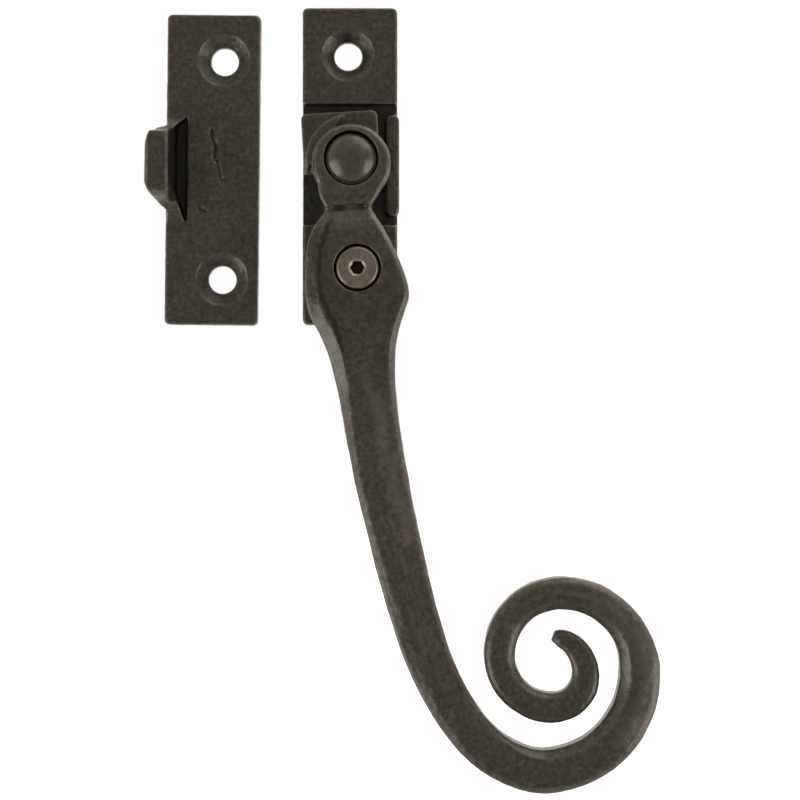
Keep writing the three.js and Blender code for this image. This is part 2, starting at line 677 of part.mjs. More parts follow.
function piece(name, solid, finish) {
  const mesh = new THREE.Mesh(toGeometry(solid), new THREE.MeshStandardMaterial(finish));
  mesh.name = name;
  return mesh;
}

const group = new THREE.Group();

group.add(piece('back_plate', backPlate(), PAINT));
group.add(piece('pivot_rivet', pivotRivet(), PAINT));
group.add(piece('rivet_head_washer', headWasher(), BRIGHT_STEEL));
group.add(piece('friction_spring_washer', springWasher(), BRIGHT_STEEL));

const keepPiece = piece('keep', keep(), PAINT);
keepPiece.position.set(KEEP_CENTRE.x, 0, KEEP_CENTRE.z);
keepPiece.rotation.y = KEEP_TILT;
group.add(keepPiece);

// Everything that swings with the handle leans with it, the tail towards +X.
const swinging = new THREE.Group();
swinging.rotation.y = -HANDLE_LEAN;
swinging.add(piece('handle', handle(), PAINT));
swinging.add(piece('lock_screw', lockScrew(), BLACKED_STEEL));
swinging.add(piece('lock_screw_clip', lockClip(), BRIGHT_STEEL));
group.add(swinging);

export default group;
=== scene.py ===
"""Looks of the curled-tail casement fastener: castings, turned parts, paint, light and camera.

Lengths are millimetres in the frame of the CAD part unless a name says otherwise: +Z is up, the window face
is Y = 0 and the front is towards -Y. A "height" is a distance off the window face. Each piece is shaped in
millimetres and brought to metres when it is finished.
"""

import json
import math
from itertools import pairwise

import bmesh
import bpy
import numpy as np
from mathutils import Matrix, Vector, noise


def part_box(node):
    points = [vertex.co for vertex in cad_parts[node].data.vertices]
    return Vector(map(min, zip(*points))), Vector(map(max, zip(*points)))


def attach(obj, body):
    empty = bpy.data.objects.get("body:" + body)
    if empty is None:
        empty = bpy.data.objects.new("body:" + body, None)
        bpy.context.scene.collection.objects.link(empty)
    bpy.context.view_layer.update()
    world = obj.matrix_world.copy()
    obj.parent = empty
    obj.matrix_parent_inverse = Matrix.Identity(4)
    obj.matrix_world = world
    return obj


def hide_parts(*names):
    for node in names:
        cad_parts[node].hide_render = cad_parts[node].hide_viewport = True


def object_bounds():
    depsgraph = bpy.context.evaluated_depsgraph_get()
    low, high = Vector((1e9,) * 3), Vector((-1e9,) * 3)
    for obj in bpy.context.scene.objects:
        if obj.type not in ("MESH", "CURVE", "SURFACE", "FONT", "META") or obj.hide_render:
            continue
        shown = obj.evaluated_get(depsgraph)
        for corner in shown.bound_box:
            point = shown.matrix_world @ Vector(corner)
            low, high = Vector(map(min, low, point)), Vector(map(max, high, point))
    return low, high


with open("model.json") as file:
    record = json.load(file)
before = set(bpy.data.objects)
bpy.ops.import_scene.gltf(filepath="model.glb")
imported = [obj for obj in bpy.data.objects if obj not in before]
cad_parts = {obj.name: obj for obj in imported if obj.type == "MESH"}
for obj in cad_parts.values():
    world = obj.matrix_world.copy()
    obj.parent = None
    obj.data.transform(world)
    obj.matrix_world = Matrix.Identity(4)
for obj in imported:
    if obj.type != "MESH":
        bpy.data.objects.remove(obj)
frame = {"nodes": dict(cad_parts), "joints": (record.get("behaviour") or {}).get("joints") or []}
cad_low, cad_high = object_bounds()

MM = 0.001
GAP = 0.3  # between pieces that touch
VOXEL = 0.22  # grain of the worked castings

SHARP_ANGLE = math.radians(32)  # steeper edges of the turned parts stay crisp

RIVET_SHANK_RADIUS = 3.0
RIVET_TAIL_RADIUS = 4.6
SPRING_DISH = 0.35
DOME_HEIGHT = 1.9  # of the rivet's head, part of a sphere
LOCK_HEAD_DEPTH = 2.1
LOCK_THREAD_RADIUS = 2.35
LOCK_PITCH = 0.8
LOCK_NECK_RADIUS = 1.6
LOCK_TIP_RADIUS = 2.1
HEX_KEY = 2.5  # across flats
HEX_DEPTH = 2.6
SOCKET_MOUTH = 1.75  # radius of the chamfer round the socket
SLOT_LEFT = 4.6  # sides of the slot behind the keep's ear, from the outer edge of its lip
SLOT_RIGHT = 8.3

CAMERA_DISTANCE_M = 0.504
CAMERA_DROP_M = 0.0010  # the camera looks a hair below the middle of the part
FIELD_OF_VIEW_DEG = 18.43
FLOOR_REACH_M = 4.0
FLOOR_DROP_M = 0.012  # from the lowest point of the part
WARM_LIGHT = (1.0, 0.94, 0.86)

# Lines on the front of the handle, as X and Z. The crease is painted shade at the foot of the leaf's left
# bevel, down from the notch to the shaft. The others are paler: a painted highlight on the top of the leaf
# and on the ridge, and paler paint on the curl.
LEAF_CREASE = [
    (-4.1, -12.8), (-5.5, -16.2), (-6.5, -21), (-6.3, -26.6), (-4.9, -30.4), (-2.9, -33.9), (-1.9, -38.9),
]
# Painted highlight on the rising top of the leaf, below the notch.
LEAF_HIGHLIGHT = [(-2.5, -13.2), (2, -13.4)]
# Painted highlight along the ridge of the shaft.
RIDGE_HIGHLIGHT = [(2.9, -41), (7.8, -60.5), (11.8, -76)]
# Paler paint along the curl.
PALE_CURL = [(49.3, -88), (57.2, -95.9), (58.8, -105.8), (54.3, -114.7)]
NOTCH = [(-3.6, -9.9), (2.5, -9.5)]  # across the handle between the boss and the leaf

# Distances down the handle from its pivot, between which something starts or fades, as each is met.
TONGUE_STARTS = (-1, -3)
BOSS_FADES = (9, 7)
LEAF_STARTS = (9, 12)
SHAFT_STARTS = (38, 52)
LUMPS_FADE = (84, 62)
SCROLL_STARTS = (90, 100)
SCROLL_SIDE = (14, 26)  # X between which the shaft gives way to the scroll

HANDLE_FRONT = (7, 10)  # heights between which the handle's sides give way to its front
CLEAR_OF_PLATE = (5.3, 6.5)  # heights from which the handle's skin may be rough

# Dents and scratches in the keep: both ends, as X from its right edge and Z, then the width and depth.
KEEP_DENTS = [
    ((-9.9, 6.2), (-9.0, 0.2), 0.6, 0.5),
    ((-8.9, -0.2), (-7.9, -4.0), 0.4, 0.3),
    ((-7.3, 1.3), (-5.6, 1.0), 0.35, 0.2),
    ((-6.8, 4.6), (-3.4, 2.2), 0.4, 0.15),
    ((-6.2, -2.4), (-3.6, -4.4), 0.4, 0.12),
    ((-12.3, -9.8), (-11.2, -10.3), 0.5, 0.3),
]

# Colours of the black paint on the castings, and of its painted highlight and painted shade.
PAINT_COOL = (0.078, 0.080, 0.063, 1)
PAINT_WARM = (0.120, 0.102, 0.080, 1)
PAINT_DARK = (0.047, 0.046, 0.036, 1)
PAINT_THIN_AND_HIGHLIGHT = (0.17, 0.15, 0.125, 1)  # paler over an edge, as thinner paint and as a painted highlight, and on paler places and painted highlights
# Painted shade: the colour of the hollows and of places darkened as if shaded.
HOLLOW_SHADE_COLOUR = (0.021, 0.021, 0.017, 1)

# Soft lights: name, direction from the part, distance and side in metres, brightness.
LIGHTS = [
    ("left", (-0.95, -0.42, -0.42), 0.55, 0.42, 3.3),
    ("right", (0.95, -0.42, -0.36), 0.55, 0.40, 3.2),
    ("top", (0.6, -0.1, 0.95), 0.6, 0.55, 1.7),
]
ROOM_DIM = 0.2  # brightness of the room on the camera's side
ROOM_BRIGHT = 1.2  # and round the sides and behind the part


# ---- numbers from the frame ---------------------------------------------------------------------


def joint(name):
    return next(j for j in frame["joints"] if j["name"] == name)


def box_mm(node):
    """Lowest and highest corner of a CAD node, in millimetres."""
    low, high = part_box(node)
    return np.array(low) / MM, np.array(high) / MM


LEAN = math.radians(-joint("handle_turn")["range_deg"][0])  # the handle hangs this far from plumb
LOCK_AXIS = np.array(joint("lock_turn")["pos_m"]) / MM


# ---- working with meshes ------------------------------------------------------------------------


def read(items, key, width):
    values = np.empty(len(items) * width)
    items.foreach_get(key, values)
    return values.reshape(-1, width)


def smoothstep(values, start, end):
    t = np.clip((values - start) / (end - start), 0, 1)
    return t * t * (3 - 2 * t)


def neighbour_mean(values, edges):
    """Each vertex's mean over its neighbours, for an array of one row per vertex."""
    first, second = edges.T
    size = len(values)
    count = np.bincount(edges.ravel(), minlength=size)
    columns = [
        np.bincount(first, column[second], size) + np.bincount(second, column[first], size)
        for column in values.T
    ]
    return np.stack(columns, axis=1) / count[:, None]


def smoothed(values, edges, rounds):
    for _ in range(rounds):
        values = values + 0.5 * (neighbour_mean(values, edges) - values)
    return values


def fractal(points, size, octaves, seed):
    """Fractal noise, about -1 to 1, whose largest lumps are about that size."""
    shifted = points / size + 31.7 * seed
    return np.array([noise.fractal(p, 1.0, 2.0, octaves) for p in shifted.tolist()])


class Casting:
    """A CAD solid copied into fine voxels, to be worked like clay before it becomes a piece."""

    def __init__(self, node):
        self.node = node
        source = frame["nodes"][node].data.copy()
        source.transform(Matrix.Scale(1 / MM, 4))
        blank = bpy.data.objects.new(node + "_blank", source)
        bpy.context.scene.collection.objects.link(blank)
        voxels = blank.modifiers.new("voxels", "REMESH")
        voxels.mode = "VOXEL"
        voxels.voxel_size = VOXEL
        graph = bpy.context.evaluated_depsgraph_get()
        self.mesh = bpy.data.meshes.new_from_object(blank.evaluated_get(graph))
        bpy.data.objects.remove(blank)
        self.points = read(self.mesh.vertices, "co", 3)
        self.edges = read(self.mesh.edges, "vertices", 2).astype(int)
        self.shade_and_stain = np.zeros(len(self.points))  # 1 where the colour is as black as the painted shade of the deepest hollow: painted shade, and darker dents
        self.pale_and_highlight = np.zeros(len(self.points))  # 1 where it is as pale as on an edge: paler places and painted highlights

    def height(self):
        return -self.points[:, 1]

    def soften(self, rounds, where=1.0):
        """Rounds the edges over. where is 0 to 1, for all vertices or for each."""
        softer = smoothed(self.points, self.edges, rounds)
        share = np.broadcast_to(where, len(self.points))[:, None]
        self.points = self.points + share * (softer - self.points)

    def normals(self):
        self.mesh.vertices.foreach_set("co", self.points.ravel())
        self.mesh.update()
        return read(self.mesh.vertex_normals, "vector", 3)

    def raise_skin(self, amount):
        self.points = self.points + self.normals() * amount[:, None]

    def proud(self, rounds):
        """How far each vertex stands out from the same casting smoothed over that many rounds."""
        broad = smoothed(self.points, self.edges, rounds)
        return np.sum((self.points - broad) * self.normals(), axis=1)

    def facing_front(self, start=0.85):
        """1 where the surface faces front, and 0 on steep slopes and sides."""
        return smoothstep(-self.normals()[:, 1], start, 0.95)

    def piece(self, name, body, material):
        """The finished piece. Its "relief" is above 0.5 on edges and pale places, which the paint shows
        paler as thinner paint and as a painted highlight, and below in hollows and darkened places, where it
        shows painted shade and darker dents.
        """
        # Painted light: relief rises on standing-out edges and falls in hollows, for painted highlight and
        # painted shade in the colour.
        relief = np.clip(0.5 + 2.4 * self.proud(14) + 0.5 * self.pale_and_highlight, 0, 1) * (1 - self.shade_and_stain)
        attribute = self.mesh.attributes.new("relief", "FLOAT", "POINT")
        attribute.data.foreach_set("value", relief)
        return finished(name, self.mesh, body, self.node, material)


def finished(name, mesh, body, node, material):
    """A mesh in millimetres made into a shown piece that stands for a CAD node."""
    mesh.transform(Matrix.Scale(MM, 4))
    mesh.shade_smooth()
    if "relief" not in mesh.attributes:
        mesh.set_sharp_from_angle(angle=SHARP_ANGLE)
    mesh.materials.clear()
    mesh.materials.append(material)
    piece = bpy.data.objects.new(name, mesh)
    bpy.context.scene.collection.objects.link(piece)
    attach(piece, body)
    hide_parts(node)
    return piece


# ---- materials ----------------------------------------------------------------------------------


class Shader:
    """A new material, and short calls for the nodes that it is made of."""

    def __init__(self, name, slot):
        self.material = bpy.data.materials.new(name)
        self.material.use_nodes = True
        self.material["slot"] = slot
        self.tree = self.material.node_tree
        self.principled = self.tree.nodes["Principled BSDF"]

    def node(self, kind, inputs=None, **settings):
        made = self.tree.nodes.new(kind)
        for key, value in settings.items():
            setattr(made, key, value)
        for key, value in (inputs or {}).items():
            self.feed(value, made.inputs[key])
        return made

    def feed(self, value, socket):
        if isinstance(value, bpy.types.NodeSocket):
            self.tree.links.new(value, socket)
        else:
            socket.default_value = value

    def place(self):
        return self.node("ShaderNodeTexCoord").outputs["Object"]

    def noise(self, size, detail=4.0, roughness=0.55):
        """Procedural noise whose largest lumps are about size millimetres."""
        inputs = {"Vector": self.place(), "Scale": 1 / (size * MM)}
        inputs |= {"Detail": detail, "Roughness": roughness}
        return self.node("ShaderNodeTexNoise", inputs).outputs["Fac"]

    def between(self, value, low, high, start=0.0, end=1.0):
        """value's range start..end spread over low..high."""
        inputs = {"Value": value, "From Min": start, "From Max": end, "To Min": low, "To Max": high}
        return self.node("ShaderNodeMapRange", inputs).outputs["Result"]

    def mixed(self, share, first, second):
        mix = self.node("ShaderNodeMix", data_type="RGBA")
        factor, _, _, _, _, _, first_colour, second_colour = mix.inputs[:8]
        self.feed(share, factor)
        self.feed(first, first_colour)
        self.feed(second, second_colour)
        return mix.outputs[2]

    def bump(self, height, distance, strength, below=None):
        inputs = {"Height": height, "Distance": distance * MM, "Strength": strength}
        if below is not None:
            inputs["Normal"] = below
        return self.node("ShaderNodeBump", inputs).outputs["Normal"]

    def set(self, **inputs):
        names = {"colour": "Base Color", "roughness": "Roughness"}
        names |= {"normal": "Normal", "metallic": "Metallic"}
        for key, value in inputs.items():
            self.feed(value, self.principled.inputs[names[key]])
        return self.material


def black_paint():
    """Satin black paint over a rough casting: paler on the edges, as thinner paint and as a painted
    highlight, with painted shade in the hollows.
    """
    shader = Shader("black_paint", "black_paint")
    relief = shader.node("ShaderNodeAttribute", attribute_name="relief").outputs["Fac"]
    patches = shader.between(shader.noise(3.4, detail=3), 0, 1, 0.36, 0.64)
    grain = shader.between(shader.noise(0.9, detail=2, roughness=0.6), 0, 1, 0.34, 0.66)
    body = shader.mixed(grain, PAINT_DARK, shader.mixed(patches, PAINT_COOL, PAINT_WARM))
    # Painted highlight, with thinner paint: paler where the relief stands out.
    thin_and_highlight = shader.between(relief, 0, 0.8, 0.56, 1.0)
    edged = shader.mixed(thin_and_highlight, body, PAINT_THIN_AND_HIGHLIGHT)
    # Painted shade: darker where the relief falls low.
    hollow = shader.between(relief, 1, 0, 0.1, 0.42)
    colour = shader.mixed(hollow, edged, HOLLOW_SHADE_COLOUR)
    roughness = shader.between(shader.noise(1.1, detail=5), 0.26, 0.40, 0.3, 0.7)
    grit = shader.bump(shader.noise(0.6, detail=4, roughness=0.6), 0.06, 0.5)
    normal = shader.bump(shader.noise(1.9, detail=2), 0.2, 0.5, below=grit)
    return shader.set(colour=colour, roughness=roughness, normal=normal)


def rivet_paint():
    """The same paint over the smooth head of a rivet, where it is glossier."""
    shader = Shader("rivet_paint", "black_paint")
    grain = shader.between(shader.noise(1.2, detail=4, roughness=0.6), 0, 1, 0.34, 0.66)
    colour = shader.mixed(grain, (0.068, 0.063, 0.050, 1), (0.110, 0.101, 0.080, 1))
    roughness = shader.between(shader.noise(1.0, detail=4), 0.20, 0.30, 0.3, 0.7)
    normal = shader.bump(shader.noise(0.9, detail=3), 0.08, 0.4)
    return shader.set(colour=colour, roughness=roughness, normal=normal)


def blacked_steel():
    """Turned steel with an oil-black finish, its wear showing a warm grey, and painted shade inside the
    socket.
    """
    shader = Shader("blacked_steel", "blacked_steel")
    wear = shader.between(shader.noise(1.4, detail=5), 0, 1, 0.3, 0.7)
    bare = shader.mixed(wear, (0.27, 0.23, 0.20, 1), (0.42, 0.36, 0.32, 1))
    # Painted shade: the socket's inside is coloured near black.
    socket_shade = shader.node("ShaderNodeAttribute", attribute_name="socket_shade").outputs["Fac"]
    colour = shader.mixed(socket_shade, bare, (0.05, 0.045, 0.038, 1))
    roughness = shader.between(shader.noise(0.5), 0.38, 0.55, 0.3, 0.7)
    normal = shader.bump(shader.noise(0.25, detail=3), 0.02, 0.5)
    return shader.set(colour=colour, roughness=roughness, normal=normal, metallic=0.85)


def bright_steel():
    """Plain steel washers and clip, dulled by oil."""
    shader = Shader("bright_steel", "zinc_steel")
    shade_and_stain = shader.between(shader.noise(2.0, detail=5), 0, 1, 0.3, 0.7)
    colour = shader.mixed(shade_and_stain, (0.30, 0.29, 0.27, 1), (0.52, 0.51, 0.49, 1))
    roughness = shader.between(shader.noise(0.7), 0.3, 0.5, 0.3, 0.7)
    normal = shader.bump(shader.noise(0.3, detail=3), 0.015, 0.5)
    return shader.set(colour=colour, roughness=roughness, normal=normal, metallic=1.0)


# ---- castings -----------------------------------------------------------------------------------


def off_window(casting):
    """0 on the face that sits against the window and 1 from just above it, so that face stays flat."""
    return smoothstep(casting.height(), 0.1, 0.7)


def cast_skin(points, depth):
    """The lumps and fine grain that sand leaves on a casting."""
    return depth * (fractal(points, 2.4, 4, 1) + 0.5 * fractal(points, 0.9, 3, 2))


def groove(points, start, end, width, depth):
    """A scratch between two points of the front, given as X and Z."""
    start, end = np.array(start), np.array(end)
    flat = points[:, [0, 2]]
    along = end - start
    share = np.clip((flat - start) @ along / (along @ along), 0, 1)
    wander = 0.03 * np.linalg.norm(along) * np.sin(9 * share + start[0])
    across = np.array([-along[1], along[0]]) / np.linalg.norm(along)
    nearest = start + share[:, None] * along + wander[:, None] * across
    distance = np.linalg.norm(flat - nearest, axis=1)
    return -depth * np.exp(-((distance / width) ** 2))


def near_line(points, line, width):
    """1 on a line across the front, given as X and Z, fading to 0 over about the width."""
    return np.max([-groove(points, start, end, width, 1) for start, end in pairwise(line)], axis=0)


def flatness(casting):
    """1 where a casting faces front, and less on its slopes, sides and countersinks, which are smoother."""
    return 0.35 + 0.65 * casting.facing_front(0.8)


def in_slot(casting, lip_edge):
    """1 inside the slot behind the keep's ear, which is given painted shade, and 0 outside it."""
    reach = casting.points[:, 0] - lip_edge
    across = smoothstep(reach, SLOT_LEFT, SLOT_LEFT + 0.3) * smoothstep(reach, SLOT_RIGHT, SLOT_RIGHT - 0.3)
    wall = smoothstep(casting.normals()[:, 1], -0.75, -0.5)
    deep = smoothstep(casting.height(), 4.0, 3.0)
    inside = smoothstep(casting.height(), 10.6, 10.0) * np.maximum(wall, deep)
    return across * inside * off_window(casting)


def keep_dents(points, right):
    """The depth of the keep's dents and scratches at each point, below 0."""
    edge = np.array((right, 0))
    return sum(groove(points, edge + start, edge + end, *size) for start, end, *size in KEEP_DENTS)


def make_keep(paint):
    casting = Casting("keep")
    casting.soften(5)
    low, high = box_mm("keep")
    dents = keep_dents(casting.points, high[0])
    skin = cast_skin(casting.points, 0.12) * flatness(casting) + dents
    casting.raise_skin(skin * off_window(casting))
    casting.soften(1)
    # Darker in the dents and scratches.
    dent_darkening = np.clip(-1.7 * dents, 0, 0.9) * flatness(casting)
    # Painted shade in the slot behind the ear.
    casting.shade_and_stain = np.maximum(in_slot(casting, low[0]), dent_darkening)
    return casting.piece("keep_casting", "fixed", paint)


def make_back_plate(paint):
    casting = Casting("back_plate")
    casting.soften(5)
    casting.raise_skin(cast_skin(casting.points, 0.12) * flatness(casting) * off_window(casting))
    casting.soften(1)
    # Painted shade on the floor of the pocket.
    in_pocket = smoothstep(casting.height(), 4.0, 2.8)
    casting.shade_and_stain = 0.6 * in_pocket * off_window(casting)
    return casting.piece("back_plate_casting", "fixed", paint)


class Stretches:
    """Which part of the handle each vertex belongs to, as shares from 0 to 1."""

    def __init__(self, points):
        x, _, z = points.T
        self.down = x * math.sin(LEAN) - z * math.cos(LEAN)  # from the pivot, along the handle
        self.scroll = smoothstep(x, *SCROLL_SIDE) * smoothstep(self.down, *SCROLL_STARTS)
        self.shaft = smoothstep(self.down, *SHAFT_STARTS) * (1 - self.scroll)
        self.leaf = 1 - self.shaft - self.scroll  # with the boss and the tongue


def handle_skin(casting, parts, front):
    """How far out each vertex of the handle goes: swells, grain, hammered lumps and the notch."""
    points = casting.points
    skin = 0.12 * fractal(points, 6, 2, 3) * (1 - 0.6 * parts.leaf)
    skin += 0.03 * fractal(points, 1.2, 3, 4)
    lumps = fractal(points, 2.2, 2, 5) + 0.3 * fractal(points, 1.2, 1, 6)
    upper = smoothstep(parts.down, *LUMPS_FADE)
    on_shaft = parts.shaft * front * (0.3 + 0.7 * casting.facing_front() * upper)
    tongue = smoothstep(parts.down, *TONGUE_STARTS) * smoothstep(casting.height(), 8.2, 7.6)
    skin += (0.12 * on_shaft + 0.03 * parts.scroll + 0.14 * tongue) * lumps
    skin += groove(points, *NOTCH, 0.42, 0.45) * smoothstep(casting.height(), 8.6, 9.2)
    return skin * smoothstep(casting.height(), *CLEAR_OF_PLATE)


def shade_and_highlight_handle(casting, parts, front):
    """Painted shade over the leaf and in its crease, painted highlights on the leaf's top and the ridge, and
    paler paint on the curl, the boss and the standing-out bumps of the shaft.
    """
    # Painted highlight across the top of the leaf.
    leaf_highlight = near_line(casting.points, LEAF_HIGHLIGHT, 2.2)
    # Painted shade along the crease at the foot of the leaf's left bevel.
    crease = 0.8 * near_line(casting.points, LEAF_CREASE, 0.75)
    # Painted shade over the leaf, kept off its painted highlight.
    leaf_shade = 0.26 * parts.leaf * smoothstep(parts.down, *LEAF_STARTS) * (1 - leaf_highlight)
    casting.shade_and_stain = front * np.maximum(crease, leaf_shade)
    # Painted highlight on the ridge and the leaf's top, and paler paint on the curl, the boss and the
    # shaft's bumps.
    highlights_and_pale = 0.6 * near_line(casting.points, RIDGE_HIGHLIGHT, 1.5)
    highlights_and_pale += 0.5 * near_line(casting.points, PALE_CURL, 2.6)
    highlights_and_pale += 0.4 * leaf_highlight + 0.22 * smoothstep(parts.down, *BOSS_FADES)
    bumps = 0.5 * smoothstep(casting.proud(90), 0.04, 0.2) * parts.shaft
    casting.pale_and_highlight = np.maximum(bumps, highlights_and_pale) * casting.facing_front() * front


def make_handle(paint):
    casting = Casting("handle")
    parts = Stretches(casting.points)
    casting.soften(4, parts.leaf)
    casting.soften(6, parts.shaft)
    casting.soften(9, parts.scroll)
    front = smoothstep(casting.height(), *HANDLE_FRONT)
    casting.raise_skin(handle_skin(casting, parts, front))
    casting.soften(2)
    shade_and_highlight_handle(casting, parts, front)
    return casting.piece("handle_casting", "handle", paint)


# ---- turned parts -------------------------------------------------------------------------------


def rounded(profile, radius):
    """The profile with each corner between its ends rounded off."""
    corners = np.array(profile, float)
    points = [corners[0]]
    for before, corner, after in zip(corners, corners[1:], corners[2:]):
        back, on = before - corner, after - corner
        reach = min(radius, 0.45 * np.linalg.norm(back), 0.45 * np.linalg.norm(on))
        start = corner + back / np.linalg.norm(back) * reach
        end = corner + on / np.linalg.norm(on) * reach
        for t in np.linspace(0, 1, 5):
            points.append((1 - t) ** 2 * start + 2 * t * (1 - t) * corner + t * t * end)
    points.append(corners[-1])
    return points


def tidied(mesh):
    """Merges points that lie together and turns every face outwards."""
    work = bmesh.new()
    work.from_mesh(mesh)
    bmesh.ops.remove_doubles(work, verts=work.verts, dist=1e-4)
    bmesh.ops.recalc_face_normals(work, faces=work.faces)
    work.to_mesh(mesh)
    work.free()
    return mesh


def turned(profile, axis=(0, 0, 0), segments=96, widen=None):
    """A solid swept round an axis square to the window, from [radius, height] pairs.

    widen(angle, radius, height) gives what to add to a point's radius.
    """
    angles = [2 * math.pi * segment / segments for segment in range(segments)]
    points = []
    for radius, height in profile:
        for angle in angles:
            r = radius + (widen(angle, radius, height) if widen else 0)
            points.append((axis[0] + r * math.cos(angle), -height, axis[2] + r * math.sin(angle)))
    faces = []
    for ring in range(len(profile) - 1):
        for segment in range(segments):
            a = ring * segments + segment
            b = ring * segments + (segment + 1) % segments
            faces.append((a, b, b + segments, a + segments))
    mesh = bpy.data.meshes.new("turned")
    mesh.from_pydata(points, [], faces)
    return tidied(mesh)


def cut(mesh, *cutters):
    """The mesh less the cutters."""
    work = bpy.data.objects.new("work", mesh)
    bpy.context.scene.collection.objects.link(work)
    tools = []
    for cutter in cutters:
        tool = bpy.data.objects.new("tool", cutter)
        bpy.context.scene.collection.objects.link(tool)
        boolean = work.modifiers.new("cut", "BOOLEAN")
        boolean.operation = "DIFFERENCE"
        boolean.solver = "EXACT"
        boolean.object = tool
        tools.append(tool)
    graph = bpy.context.evaluated_depsgraph_get()
    result = bpy.data.meshes.new_from_object(work.evaluated_get(graph))
    for scrap in (work, *tools):
        bpy.data.objects.remove(scrap)
    return result


def make_rivet(paint):
    """A rivet with a domed head, blunt on top, and a peened tail in the back of the plate."""
    low, high = box_mm("pivot_rivet")
    top, tail, head = -low[1], -high[1], high[0]
    seat = -box_mm("rivet_head_washer")[0][1] + GAP
    rim = top - DOME_HEIGHT
    sphere = (head ** 2 + DOME_HEIGHT ** 2) / (2 * DOME_HEIGHT)
    dome = [
        (radius, top - sphere + math.sqrt(sphere ** 2 - radius ** 2))
        for radius in np.linspace(0.99, 0.44, 14) * head
    ]
    profile = [
        *rounded([
            (0, tail),
            (RIVET_TAIL_RADIUS - 0.5, tail + 0.1),
            (RIVET_TAIL_RADIUS, tail + 0.35),
            (RIVET_SHANK_RADIUS, tail + 1.3),
            (RIVET_SHANK_RADIUS, seat),
            (head, seat),
            (head, rim),
        ], 0.35),
        *dome,
        (0.36 * head, top - 0.19),
        (0.20 * head, top - 0.16),
        (0, top - 0.15),
    ]

    def uneven(angle, radius, height):
        return 0.015 * math.sin(5 * angle + height) * (radius > 1)

    mesh = turned(profile, widen=uneven)
    return finished("rivet_domed", mesh, "fixed", "pivot_rivet", paint)


def ring_profile(node, bore, dish=0.0):
    """A washer's section: its outside and thickness from the CAD node, its middle raised by dish."""
    low, high = box_mm(node)
    bottom, top, outside = -high[1], -low[1] - dish, high[0]
    return rounded([
        ((bore + outside) / 2, bottom + dish / 2),
        (outside, bottom),
        (outside, top),
        (bore, top + dish),
        (bore, bottom + dish),
        ((bore + outside) / 2, bottom + dish / 2),
    ], 0.12)


def make_washers(steel):
    bore = RIVET_SHANK_RADIUS + GAP
    plain = turned(ring_profile("rivet_head_washer", bore))
    finished("washer_plain", plain, "fixed", "rivet_head_washer", steel)
    spring = turned(ring_profile("friction_spring_washer", bore, SPRING_DISH))
    finished("washer_spring", spring, "fixed", "friction_spring_washer", steel)


def hexagon_prism(across_flats, axis, low, high):
    corner = across_flats / math.sqrt(3)
    profile = [(0, low), (corner, low), (corner, high), (0, high)]
    return turned(profile, axis, segments=6)


def make_lock_screw(steel):
    """A socket screw: threaded in the leaf, with a neck behind it for the clip."""
    low, high = box_mm("lock_screw")
    top, tip = -low[1], -high[1]
    head = (high[0] - low[0]) / 2
    seat = top - LOCK_HEAD_DEPTH
    clip_low, clip_high = box_mm("lock_screw_clip")
    neck_start, neck_end = -clip_high[1] - 0.15, -clip_low[1] + 0.15
    turns = int((seat - 0.5 - neck_end) / LOCK_PITCH * 12)
    threaded = [(LOCK_THREAD_RADIUS, h) for h in np.linspace(neck_end + 0.35, seat - 0.3, turns)]

    def thread(angle, radius, height):
        if radius != LOCK_THREAD_RADIUS:
            return 0
        phase = (height / LOCK_PITCH + angle / (2 * math.pi)) % 1
        return -0.55 * LOCK_PITCH * abs(2 * phase - 1)

    profile = [
        (0, tip),
        *rounded([
            (LOCK_TIP_RADIUS - 0.25, tip),
            (LOCK_TIP_RADIUS, tip + 0.12),
            (LOCK_TIP_RADIUS, neck_start),
            (LOCK_NECK_RADIUS, neck_start),
            (LOCK_NECK_RADIUS, neck_end),
            (LOCK_THREAD_RADIUS - 0.45, neck_end),
        ], 0.06),
        *threaded,
        *rounded([
            (LOCK_THREAD_RADIUS - 0.3, seat),
            (head, seat),
            (head, top - 0.4),
            (head - 0.4, top),
            (SOCKET_MOUTH, top),
        ], 0.12),
        (0, top),
    ]
    blank = turned(profile, LOCK_AXIS, widen=thread)
    socket = hexagon_prism(HEX_KEY, LOCK_AXIS, top - HEX_DEPTH, top + 1)
    mouth_profile = [
        (0, top - 0.55),
        (SOCKET_MOUTH - 0.6, top - 0.55),
        (SOCKET_MOUTH + 0.1, top + 0.1),
        (0, top + 0.1),
    ]
    mesh = cut(blank, socket, turned(mouth_profile, LOCK_AXIS))
    points = read(mesh.vertices, "co", 3)
    from_axis = np.hypot(points[:, 0] - LOCK_AXIS[0], points[:, 2] - LOCK_AXIS[2])
    in_socket = (from_axis < HEX_KEY / math.sqrt(3) + 0.01) * (-points[:, 1] < top - 1)
    # Painted shade inside the socket.
    socket_shade = mesh.attributes.new("socket_shade", "FLOAT", "POINT")
    socket_shade.data.foreach_set("value", in_socket.astype(float))
    return finished("screw_socket_head", mesh, "lock_screw", "lock_screw", steel)


